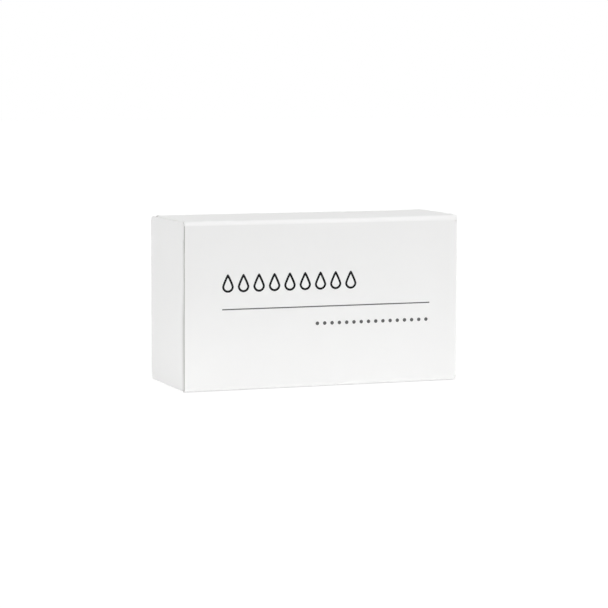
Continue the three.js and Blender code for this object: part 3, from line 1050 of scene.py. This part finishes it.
class CARTON_OT_closures(bpy.types.Operator):
    """Makes the closure panel of each end, with the crease that it turns on"""

    bl_idname = "carton.closures"
    bl_label = "Closures"

    def execute(self, context):
        left = self.fold_left()
        # Painted shade along the lower half of the tuck crease
        mark_points(left, PAINTED_TUCK_SHADE_MARK, painted_tuck_shade)
        move_points(left, leaning)
        give_board_thickness(left, self.joined)
        right = half_turned(left, "right_closure_board")
        move_points(right, self.lowered)
        for board, end, side in ((left, "left", -1), (right, "right", 1)):
            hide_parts(f"{end}_closure_panel")
            self.hinge(board, end, -side)
        return {"FINISHED"}

    def fold_left(self):
        """The left closure: its panel, the shoulders beside the slits and the crease behind."""
        settings = bpy.context.scene.boxed_board
        slit = settings.slit
        shoulder_low = CLOSURE[0].z + slit
        shoulder_high = CLOSURE[1].z - slit
        low = Vector((-HALF_LENGTH, TAB_CREASE.y, shoulder_low))
        high = Vector((-HALF_LENGTH, HINGE_CREASE.y, shoulder_high))
        board = flat_board("left_closure_board", "left", low, high, CLOSURE_COLUMNS, CLOSURE_ROWS)
        pick(board, lambda at: near(at.z, shoulder_low))
        pull((0, 0, -slit))
        pick(board, lambda at: near(at.z, shoulder_high))
        pull((0, 0, slit))
        for beyond in (lambda z: z < shoulder_low + TINY, lambda z: z > shoulder_high - TINY):
            pick(board, lambda at: near(at.y, TAB_CREASE.y) and beyond(at.z))
            pull((0, -settings.shoulder, 0))
        cut_line = HINGE_CREASE.y - settings.corner_cut
        bpy.ops.mesh.select_all(action="SELECT")
        bpy.ops.mesh.bisect(plane_co=(0, cut_line, 0), plane_no=(0, 1, 0))
        pick(board, lambda at: near(at.y, HINGE_CREASE.y))
        roll((0, 0, 1), HINGE_CREASE, -90)
        close_folds(board, Vector((-1, 0, 0)))
        move_points(board, self.cut_back)
        move_points(board, self.pressed)
        return board

    def cut_back(self, place):
        """Cuts the corners beside the crease, which ends between the long folds."""
        settings = bpy.context.scene.boxed_board
        inset = max(0.0, place.y - HINGE_CREASE.y + settings.corner_cut)
        low = CLOSURE[0].z + inset
        high = CLOSURE[1].z - inset
        if place.y > HINGE_CREASE.y + TINY:
            low = SEAM_TOP + settings.crease_gap
            high = HEIGHT - FOLD - settings.crease_gap
        place.z = min(max(place.z, low), high)
        return place

    def lowered(self, place):
        """Draws the right crease down to the front's lower fold, which has no seam under it."""
        at_foot = place.z < SEAM_TOP + BOARD and place.y < -HINGE_CREASE.y - TINY
        if at_foot:
            place.z -= SEAM_TOP - FOLD
        return place

    def pressed(self, place):
        """Presses the crease sharper than a round roll."""
        roundness = 0.57
        outward = place - HINGE_CREASE
        if outward.x < TINY and outward.y > -TINY:
            for axis in (0, 1):
                share = abs(outward[axis]) / CREASE
                reach = CREASE * share ** roundness
                place[axis] = HINGE_CREASE[axis] + math.copysign(reach, outward[axis])
        return place

    def joined(self, place):
        """Whether the left closure meets the carton or its tab in a crease here."""
        lean = bpy.context.scene.boxed_board.lean
        at_carton = near(place.x, -CREASE_EDGE) and place.y > HINGE_CREASE.y
        at_tab = TAB_CREASE.y - TINY < place.y < TAB_CREASE.y + lean + TINY
        return at_carton or at_tab

    def hinge(self, board, end, turned):
        """Bakes the closure's place into its points. turned is -1 at the right end, and is not used."""
        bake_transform(board)


class CARTON_OT_tabs(bpy.types.Operator):
    """Makes the tuck tab of each closure, with the crease between its slits"""

    bl_idname = "carton.tabs"
    bl_label = "Tuck tabs"

    def execute(self, context):
        left = self.fold_left()
        # Painted shade along the lower half of the tuck crease
        mark_points(left, PAINTED_TUCK_SHADE_MARK, painted_tuck_shade)
        move_points(left, leaning)
        give_board_thickness(left, lambda at: at.x < BOARD - HALF_LENGTH + TINY)
        right = half_turned(left, "right_tab_board")
        for board, end, turned in ((left, "left", 1), (right, "right", -1)):
            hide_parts(f"{end}_tuck_tab")
            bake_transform(board)
        return {"FINISHED"}

    def fold_left(self):
        """The left tab: tapered, with round corners, and creased between the slits."""
        settings = bpy.context.scene.boxed_board
        root_low = CLOSURE[0].z + settings.slit
        root_high = CLOSURE[1].z - settings.slit
        low = Vector((TAB[0].x, TAB[0].y, TAB[0].z))
        high = Vector((TAB[1].x, TAB[0].y, TAB[1].z))
        board = flat_board("left_tab_board", "front", low, high)
        pick(board, lambda at: near(at.x, TAB[1].x), "VERT")
        shrink = 1 - 2 * settings.tab_taper / (TAB[1].z - TAB[0].z)
        bpy.ops.transform.resize(value=(1, 1, shrink), center_override=(0, 0, (TAB[0].z + TAB[1].z) / 2))
        round_corners(board, lambda at: near(at.x, TAB[1].x), settings.tab_corner)
        for row in range(CLOSURE_ROWS + 1):
            height = root_low + (root_high - root_low) * row / CLOSURE_ROWS
            bpy.ops.mesh.select_all(action="SELECT")
            bpy.ops.mesh.bisect(plane_co=(0, 0, height), plane_no=(0, 0, 1))
        pick(board, lambda at: near(at.x, TAB[0].x) and root_low - TINY < at.z < root_high + TINY)
        pull((TAB_CREASE.x - TAB[0].x, 0, 0))
        roll((0, 0, 1), TAB_CREASE, -90, TUCK_STEPS)
        close_folds(board, Vector((0, -1, 0)))
        return board


class CARTON_OT_dust_flaps(bpy.types.Operator):
    """Makes the two dust flaps of each end"""

    bl_idname = "carton.dust_flaps"
    bl_label = "Dust flaps"

    def execute(self, context):
        for level, up in (("upper", 1), ("lower", -1)):
            left = self.fold_left(level, up)
            right = half_turned(left, f"right_{level}_dust_board")
            for board, end, turned in ((left, "left", 1), (right, "right", -1)):
                if up > 0:
                    move_points(board, crowned)
                give_board_thickness(board, lambda at: near(abs(at.x), DUST_CREASE_EDGE))
                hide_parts(f"{end}_{level}_dust_flap")
                self.hinge(board, end, level, up, turned)
        return {"FINISHED"}

    def fold_left(self, level, up):
        """An upper or lower dust flap of the left end, tapered to round corners."""
        settings = bpy.context.scene.boxed_board
        face = HEIGHT if up > 0 else 0
        free_edge = DUST[0].z if up > 0 else HEIGHT - DUST[0].z
        root = face - up * CREASE
        length = abs(root - free_edge)
        low = Vector((-DUST_FACE, DUST[0].y, min(root, free_edge)))
        high = Vector((-DUST_FACE, DUST[1].y, max(root, free_edge)))
        board = flat_board(f"left_{level}_dust_board", "left", low, high)
        sides = ((DUST[0].y, settings.dust_tuck_taper, 1), (DUST[1].y, settings.dust_hinge_taper, -1))
        for edge, angle, inward in sides:
            pick(board, lambda at: near(at.z, free_edge) and near(at.y, edge), "VERT")
            bpy.ops.transform.translate(value=(0, inward * math.tan(angle) * length, 0))
        round_corners(board, lambda at: near(at.z, free_edge), settings.dust_corner)
        pick(board, lambda at: near(at.z, root))
        bpy.ops.mesh.subdivide(number_cuts=9)
        pick(board, lambda at: near(at.z, root))
        roll((0, 1, 0), (-DUST_CREASE_EDGE, 0, root), 90 * up)
        close_folds(board, Vector((-1, 0, 0)))
        return board

    def hinge(self, board, end, level, up, turned):
        """Works out where the crease between the carton and a dust flap starts and stops, and bakes the
        flap's place into its points. turned is -1 at the right end.
        """
        centre = Vector((-DUST_CREASE_EDGE, 0, HEIGHT - CREASE if up > 0 else CREASE))
        spread = Vector((-1, 0, -up)).normalized() * (CREASE - BOARD) * CREASE_SPREAD
        start = centre - spread
        stop = centre + spread
        for point in (start, stop):
            point.x *= turned
        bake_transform(board)


# Plain printed marks

def lay_on_front(piece, ink_film):
    """Bends flat marks to the front panel and gives the ink its thickness."""
    def laid(place):
        place.y = -HALF_DEPTH - wall_bulge(place)
        return place

    move_points(piece, laid)
    apply_modifier(piece, "SOLIDIFY", thickness=ink_film, offset=1)
    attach(piece, "carton")


class CARTON_OT_print(bpy.types.Operator):
    """Prints the front panel: a row of drops, a thin rule and a row of dots"""

    bl_idname = "carton.print_front"
    bl_label = "Printed marks"

    def execute(self, context):
        marks = context.scene.boxed_print
        dark = ink("Dark ink", marks.dark)
        grey = ink("Grey ink", marks.grey)
        for piece, material in (
            (self.rule(marks), grey),
            (self.drops(marks), dark),
            (self.dots(marks), grey),
        ):
            piece.data.materials.append(material)
            lay_on_front(piece, marks.film)
        return {"FINISHED"}

    def rule(self, marks):
        """A thin line from margin to margin."""
        half = marks.rule_width / 2
        low = Vector((marks.left, -HALF_DEPTH, marks.rule_height - half))
        high = Vector((marks.right, -HALF_DEPTH, marks.rule_height + half))
        rule = flat_board("printed_rule", "front", low, high, columns=24)
        bpy.ops.object.mode_set(mode="OBJECT")
        return rule

    def circle(self, name, radius, x, z, vertices):
        """A flat disc on the front."""
        bpy.ops.object.select_all(action="DESELECT")
        bpy.ops.mesh.primitive_circle_add(
            vertices=vertices, radius=radius, fill_type="NGON",
            location=(x, -HALF_DEPTH, z), rotation=(math.pi / 2, 0, 0),
        )
        bpy.ops.object.transform_apply(location=True, rotation=True, scale=True)
        circle = bpy.context.object
        circle.name = name
        return circle

    def drops(self, marks):
        """One outlined drop, drawn to a tip and repeated along the row."""
        round_share, steepness, narrowing = 0.33, 1.15, 0.55
        radius = marks.drop_height * round_share
        middle = Vector((marks.left + radius, 0, marks.drop_foot + radius))
        drop = self.circle("printed_drops", radius, middle.x, middle.z, vertices=36)
        tip = marks.drop_height - radius

        def drawn_to_a_tip(place):
            rise = (place.z - middle.z) / radius
            if rise > 0:
                place.z = middle.z + tip * rise ** steepness
                place.x = middle.x + (place.x - middle.x) * (1 - narrowing * rise ** 1.2)
            return place

        move_points(drop, drawn_to_a_tip)
        bpy.ops.object.mode_set(mode="EDIT")
        bpy.ops.mesh.select_mode(type="FACE")
        bpy.ops.mesh.select_all(action="SELECT")
        bpy.ops.mesh.inset(thickness=marks.drop_stroke)
        bpy.ops.mesh.delete(type="FACE")
        bpy.ops.object.mode_set(mode="OBJECT")
        self.repeat(drop, marks.drops, marks.drop_pitch)
        return drop

    def dots(self, marks):
        """One dot, repeated along the row."""
        radius = marks.dot_size / 2
        first = marks.dots_left + radius
        dot = self.circle("printed_dots", radius, first, marks.dot_height, vertices=14)
        self.repeat(dot, marks.dots, marks.dot_pitch)
        return dot

    def repeat(self, piece, count, pitch):
        """Repeats a mark to the right."""
        apply_modifier(
            piece, "ARRAY", count=count, use_relative_offset=False,
            use_constant_offset=True, constant_offset_displace=(pitch, 0, 0),
        )


class CARTON_OT_seam(bpy.types.Operator):
    """Gives the dried glue of the seam its finish"""

    bl_idname = "carton.seam"
    bl_label = "Seam glue"

    def execute(self, context):
        glue = bpy.data.objects["seam_glue"]
        for slot in glue.material_slots:
            slot.material = dried_glue()
        return {"FINISHED"}


# The cap

def folded_line(turns, pitch, run_steps, bend_steps):
    """A line folded to and fro: its points, their normals and the fold that each lies in.

    turns are the places where it starts, turns back and ends; each run lies a pitch further across.
    """
    points = []
    for run in range(len(turns) - 1):
        start, stop = turns[run], turns[run + 1]
        across = pitch * (run - (len(turns) - 2) / 2)
        onward = 1 if stop > start else -1
        for step in range(run_steps + 1):
            share = step / run_steps
            points.append((start + (stop - start) * share, across, 0, onward, run))
        if run == len(turns) - 2:
            break
        for step in range(1, bend_steps):
            angle = math.pi * step / bend_steps
            along = stop + onward * math.sin(angle) * pitch / 2
            beyond = across + (1 - math.cos(angle)) * pitch / 2
            tilt = (-math.sin(angle), onward * math.cos(angle))
            points.append((along, beyond, tilt[0], tilt[1], run + step / bend_steps))
    return points


def line_length(points):
    """Distance along a folded line at each of its points."""
    lengths = [0.0]
    for before, after in zip(points, points[1:]):
        lengths.append(lengths[-1] + math.dist(before[:2], after[:2]))
    return lengths


class CAP_OT_film(bpy.types.Operator):
    """Folds the cap's disc of film: to and fro along the carton, then in pleats across it"""

    bl_idname = "cap.film"
    bl_label = "Folded film"

    def execute(self, context):
        cap = context.scene.boxed_cap
        noise.seed_set(cap.seed)
        film = self.fold(cap)
        film.data.materials.append(milky_film())
        for face in film.data.polygons:
            face.use_smooth = True
        apply_modifier(film, "SOLIDIFY", thickness=cap.film, offset=0)
        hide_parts("cap_film")
        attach(film, "cap")
        return {"FINISHED"}

    def fold(self, cap):
        """A grid of film on both foldings, as far as the disc reaches when it is laid flat."""
        lengthwise = self.lengthwise_folds(cap)
        pleats = self.pleats(cap)
        out_u = self.centred(line_length(lengthwise))
        out_v = self.centred(line_length(pleats))
        radius = cap.diameter / 2
        mesh = bmesh.new()
        rows = []
        for (up, across, tilt_up, tilt_across, _), v in zip(pleats, out_v):
            row = []
            for (along, layer, _, _, _), u in zip(lengthwise, out_u):
                if math.hypot(u, v) > radius:
                    row.append(None)
                    continue
                place = Vector((along, across + tilt_across * layer, up + tilt_up * layer))
                row.append(mesh.verts.new(self.crumpled(place, cap)))
            rows.append(row)
        for row, later in zip(rows, rows[1:]):
            for column in range(len(row) - 1):
                corners = (row[column], row[column + 1], later[column + 1], later[column])
                if None not in corners:
                    mesh.faces.new(corners)
        loose = [point for point in mesh.verts if not point.link_faces]
        bmesh.ops.delete(mesh, geom=loose, context="VERTS")
        film = bpy.data.objects.new("folded_film", bpy.data.meshes.new("folded_film"))
        mesh.to_mesh(film.data)
        mesh.free()
        bpy.context.collection.objects.link(film)
        return film

    def centred(self, lengths):
        """Lengths counted from the middle of the line."""
        middle = lengths[-1] / 2
        return [length - middle for length in lengths]

    def lengthwise_folds(self, cap):
        """Folds along X, each turn at its own place."""
        reach = cap.diameter / cap.layers / 2
        turns = []
        for turn in range(cap.layers + 1):
            uneven = cap.turn_slip * noise.noise(Vector((turn * 0.73, 4.2, 0)))
            turns.append((reach + uneven) * (1 if turn % 2 else -1))
        return folded_line(turns, cap.layer_pitch, run_steps=16, bend_steps=4)

    def pleats(self, cap):
        """Pleats up and down, stacked from front to back."""
        stack = cap.layer_pitch * (cap.layers - 1) / 2
        pitch = (FILM[1].y - FILM[0].y - 2 * stack) / (cap.passes - 1)
        low = FILM[0].z + pitch / 2 + stack
        high = FILM[1].z - pitch / 2 - stack
        turns = []
        for turn in range(cap.passes + 1):
            uneven = cap.pleat_slip * abs(noise.noise(Vector((turn * 0.61, 9.1, 0))))
            turns.append(high - uneven if turn % 2 else low)
        return folded_line(turns, pitch, run_steps=10, bend_steps=6)

    def crumpled(self, place, cap):
        """Pushes the folded film out of true in broad waves, less near the base."""
        broad_waves, fine_waves, fine_share, pleat_hold = 45, 190, 0.35, 0.7
        broad = noise.noise_vector(place * broad_waves)
        fine = noise.noise_vector(place * fine_waves + Vector((7, 3, 1)))
        push = broad * cap.crumple + fine * cap.crumple * fine_share
        push.z *= blend_share(place.z, FILM[0].z, FILM[0].z + cap.calm_height)
        push.y *= pleat_hold
        return place + push


class CAP_OT_rim(bpy.types.Operator):
    """Makes the gathered rim and the elastic inside it"""

    bl_idname = "cap.rim"
    bl_label = "Gathered rim"

    def execute(self, context):
        cap = context.scene.boxed_cap
        radius = (ELASTIC[1].z - ELASTIC[0].z) / 2
        thread = radius * 0.9
        hem = radius * 1.02
        route = self.route(radius, cap.strand_pitch / 2)
        band = self.sweep("rim_elastic", route[::3], lambda share, angle: thread, sides=10)
        band.data.materials.append(covered_elastic())
        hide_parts("elastic_band")

        def gathered(share, angle):
            """Radius of the hem, which ruffles most on its upper side."""
            turn = share * cap.gathers * 2 * math.pi
            ring = Vector((math.cos(share * 2 * math.pi), math.sin(share * 2 * math.pi), 0)) * 9
            sway = 2.4 * noise.noise(ring) + 0.9 * math.sin(angle + 3 * noise.noise(ring * 2))
            ruffle = abs(math.sin(turn / 2 + sway + 0.6 * math.sin(2 * angle)))
            lift = 0.55 + 0.45 * math.sin(angle)
            return hem + cap.gather_depth * ruffle * lift

        rim = self.sweep("gathered_rim", route, gathered, sides=18)
        rim.data.materials.append(milky_film())
        for piece in (band, rim):
            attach(piece, "cap")
        return {"FINISHED"}

    def route(self, radius, half_pitch):
        """The elastic's flattened loop, doubled back on itself."""
        outer = ELASTIC[1].y - radius
        inner = outer - 2 * half_pitch
        middle = (outer + inner) / 2
        leg_end = ELASTIC[0].x + radius + half_pitch
        turn = ELASTIC[1].x - radius - outer
        height = (ELASTIC[0].z + ELASTIC[1].z) / 2
        path = []

        def line(start, stop):
            steps = max(2, round(math.dist(start, stop) / ROUTE_STEP))
            for step in range(steps):
                share = step / steps
                path.append(Vector((*(a + (b - a) * share for a, b in zip(start, stop)), height)))

        def arc(centre, size, begin, finish):
            steps = max(4, round(abs(finish - begin) * size / ROUTE_STEP))
            for step in range(steps):
                angle = begin + (finish - begin) * step / steps
                x = centre[0] + size * math.cos(angle)
                y = centre[1] + size * math.sin(angle)
                path.append(Vector((x, y, height)))

        quarter = math.pi / 2
        line((leg_end, outer), (turn, outer))
        arc((turn, 0), outer, quarter, -quarter)
        line((turn, -outer), (leg_end, -outer))
        arc((leg_end, -middle), half_pitch, -quarter, -3 * quarter)
        line((leg_end, -inner), (turn, -inner))
        arc((turn, 0), inner, -quarter, quarter)
        line((turn, inner), (leg_end, inner))
        arc((leg_end, middle), half_pitch, -quarter, -3 * quarter)
        return path

    def sweep(self, name, path, radius_at, sides):
        """A closed tube along a closed path, with a UV map that follows it in millimetres."""
        mesh = bmesh.new()
        rings = []
        for index, place in enumerate(path):
            ahead = (path[(index + 1) % len(path)] - path[index - 1]).normalized()
            aside = Vector((-ahead.y, ahead.x, 0))
            share = index / len(path)
            ring = []
            for side in range(sides):
                angle = 2 * math.pi * side / sides
                out = aside * math.cos(angle) + Vector((0, 0, math.sin(angle)))
                ring.append(mesh.verts.new(place + out * radius_at(share, angle)))
            rings.append(ring)
        layer = mesh.loops.layers.uv.new("UVMap")
        step = math.dist(path[0], path[1]) * 1000
        turns_round = 6
        for index, ring in enumerate(rings):
            later = rings[(index + 1) % len(rings)]
            for side in range(sides):
                beside = (side + 1) % sides
                face = mesh.faces.new((ring[side], ring[beside], later[beside], later[side]))
                face.smooth = True
                corners = ((index, side), (index, side + 1), (index + 1, side + 1), (index + 1, side))
                for loop, (along, around) in zip(face.loops, corners):
                    loop[layer].uv = (along * step, around / sides * turns_round)
        tube = bpy.data.objects.new(name, bpy.data.meshes.new(name))
        bmesh.ops.recalc_face_normals(mesh, faces=mesh.faces)
        mesh.to_mesh(tube.data)
        mesh.free()
        bpy.context.collection.objects.link(tube)
        return tube


# Camera, light and floor

class STAGE_OT_studio(bpy.types.Operator):
    """Sets up the floor, the soft light and the camera"""

    bl_idname = "stage.studio"
    bl_label = "Studio"

    def execute(self, context):
        stage = context.scene.boxed_stage
        context.scene.view_settings.view_transform = "Standard"
        self.floor()
        self.surroundings(context, stage)
        middle = Vector((0, 0, HEIGHT / 2))
        for name, place, power in (
            ("Left lamp", (-1.1, 0.65, 0.3), stage.left),
            ("Right lamp", (0.75, -1.0, 0.2), stage.right),
            ("Overhead lamp", (0, 0, 1.27), stage.overhead),
        ):
            self.lamp(name, middle + Vector(place), middle, LAMP_SIZE, power)
        for name, place, size, power in (
            ("Front card", (-0.005, -0.0338), (0.26, 0.0413), stage.bounce),
            ("Side card", (-0.0553, -0.005), (0.04, 0.08), stage.side_bounce),
        ):
            card = Vector((*place, CARD_HEIGHT))
            self.lamp(name, card, card + Vector((0, 0, 1)), size, power)
        self.camera(context, stage, middle)
        return {"FINISHED"}

    def floor(self):
        """Paper that throws light back, and looks white with the carton's shadow on it.

        What the camera sees glows, a little less near the carton than half a metre away from it.
        """
        bpy.ops.object.select_all(action="DESELECT")
        bpy.ops.mesh.primitive_plane_add(size=FLOOR_SIZE)
        floor = bpy.context.object
        floor.name = "studio_floor"
        material = bpy.data.materials.new("Studio floor")
        material.use_nodes = True
        tree = material.node_tree
        tree.nodes.clear()
        leave = tree.nodes.new("ShaderNodeOutputMaterial")
        paper = add_node(tree, "ShaderNodeBsdfDiffuse", Color=(PAPER_TONE, PAPER_TONE, PAPER_TONE, 1))
        shaded = add_node(tree, "ShaderNodeBsdfDiffuse", Color=(SHADOW_TONE, SHADOW_TONE, SHADOW_TONE, 1))
        glow = add_node(tree, "ShaderNodeEmission", Color=(1, 1, 1, 1))
        place = tree.nodes.new("ShaderNodeTexCoord")
        away = tree.nodes.new("ShaderNodeVectorMath")
        away.operation = "LENGTH"
        fade = add_node(
            tree, "ShaderNodeMapRange", From_Min=0.06, From_Max=0.5, To_Min=0.93, To_Max=1.0,
        )
        seen = tree.nodes.new("ShaderNodeAddShader")
        mix = tree.nodes.new("ShaderNodeMixShader")
        tree.links.new(self.seen_directly(tree), mix.inputs["Fac"])
        wire(
            tree,
            (place, "Object", away, 0),
            (away, "Value", fade, "Value"),
            (fade, "Result", glow, "Strength"),
            (shaded, "BSDF", seen, 0),
            (glow, "Emission", seen, 1),
            (paper, "BSDF", mix, 1),
            (seen, "Shader", mix, 2),
            (mix, "Shader", leave, "Surface"),
        )
        floor.data.materials.append(material)

    def seen_directly(self, tree):
        """1 where the camera, a reflection or a clear material shows this surface."""
        ray = tree.nodes.new("ShaderNodeLightPath")
        either = ray.outputs["Is Camera Ray"]
        for name in ("Is Glossy Ray", "Is Transmission Ray"):
            larger = tree.nodes.new("ShaderNodeMath")
            larger.operation = "MAXIMUM"
            tree.links.new(either, larger.inputs[0])
            tree.links.new(ray.outputs[name], larger.inputs[1])
            either = larger.outputs["Value"]
        return either

    def surroundings(self, context, stage):
        """Even light from all round, before a white background."""
        world = bpy.data.worlds.new("Studio surroundings")
        context.scene.world = world
        world.use_nodes = True
        tree = world.node_tree
        tree.nodes.clear()
        leave = tree.nodes.new("ShaderNodeOutputWorld")
        soft = add_node(tree, "ShaderNodeBackground", Color=(1, 1, 1, 1), Strength=stage.ambient)
        white = add_node(tree, "ShaderNodeBackground", Color=(1, 1, 1, 1), Strength=1.0)
        mix = tree.nodes.new("ShaderNodeMixShader")
        tree.links.new(self.seen_directly(tree), mix.inputs["Fac"])
        wire(
            tree,
            (soft, "Background", mix, 1),
            (white, "Background", mix, 2),
            (mix, "Shader", leave, "Surface"),
        )

    def lamp(self, name, place, aim, size, power):
        """A soft lamp that isn't seen itself."""
        bpy.ops.object.light_add(type="AREA", location=place)
        lamp = bpy.context.object
        lamp.name = name
        lamp.rotation_euler = (aim - place).to_track_quat("-Z", "Y").to_euler()
        lamp.data.shape = "RECTANGLE"
        lamp.data.size, lamp.data.size_y = size
        lamp.data.energy = power
        lamp.visible_camera = False
        lamp.visible_glossy = False

    def camera(self, context, stage, middle):
        """A plain camera at the photograph's viewing angle."""
        forward = Vector((
            math.sin(stage.azimuth) * math.cos(stage.elevation),
            math.cos(stage.azimuth) * math.cos(stage.elevation),
            -math.sin(stage.elevation),
        ))
        bpy.ops.object.camera_add(location=middle - forward * stage.distance)
        camera = bpy.context.object
        camera.rotation_euler = forward.to_track_quat("-Z", "Y").to_euler()
        camera.data.sensor_width = SENSOR_WIDTH
        camera.data.lens = stage.lens
        camera.data.shift_x = stage.shift_x
        camera.data.shift_y = stage.shift_y
        camera.data.clip_start = 0.01
        context.scene.camera = camera


OPERATORS = (
    CARTON_OT_sleeve,
    CARTON_OT_closures,
    CARTON_OT_tabs,
    CARTON_OT_dust_flaps,
    CARTON_OT_print,
    CARTON_OT_seam,
    CAP_OT_film,
    CAP_OT_rim,
    STAGE_OT_studio,
)


class VIEW3D_PT_boxed_cap(bpy.types.Panel):
    """Lists the pieces in the order that they are made"""

    bl_idname = "VIEW3D_PT_boxed_cap"
    bl_label = "Boxed shower cap"
    bl_space_type = "VIEW_3D"
    bl_region_type = "UI"
    bl_category = "Boxed cap"

    def draw(self, context):
        for operator in OPERATORS:
            self.layout.operator(operator.bl_idname)


CLASSES = (*SETTINGS.values(), *OPERATORS, VIEW3D_PT_boxed_cap)


def register():
    """Adds the settings, the operators and the panel."""
    for item in CLASSES:
        bpy.utils.register_class(item)
    for name, group in SETTINGS.items():
        setattr(bpy.types.Scene, name, PointerProperty(type=group))


def unregister():
    """Takes them away again."""
    for name in SETTINGS:
        delattr(bpy.types.Scene, name)
    for item in reversed(CLASSES):
        bpy.utils.unregister_class(item)


def main():
    """Makes every piece in order."""
    register()
    bpy.ops.carton.sleeve()
    bpy.ops.carton.closures()
    bpy.ops.carton.tabs()
    bpy.ops.carton.dust_flaps()
    bpy.ops.carton.print_front()
    bpy.ops.carton.seam()
    bpy.ops.cap.film()
    bpy.ops.cap.rim()
    bpy.ops.stage.studio()


if __name__ == "__main__":
    main()
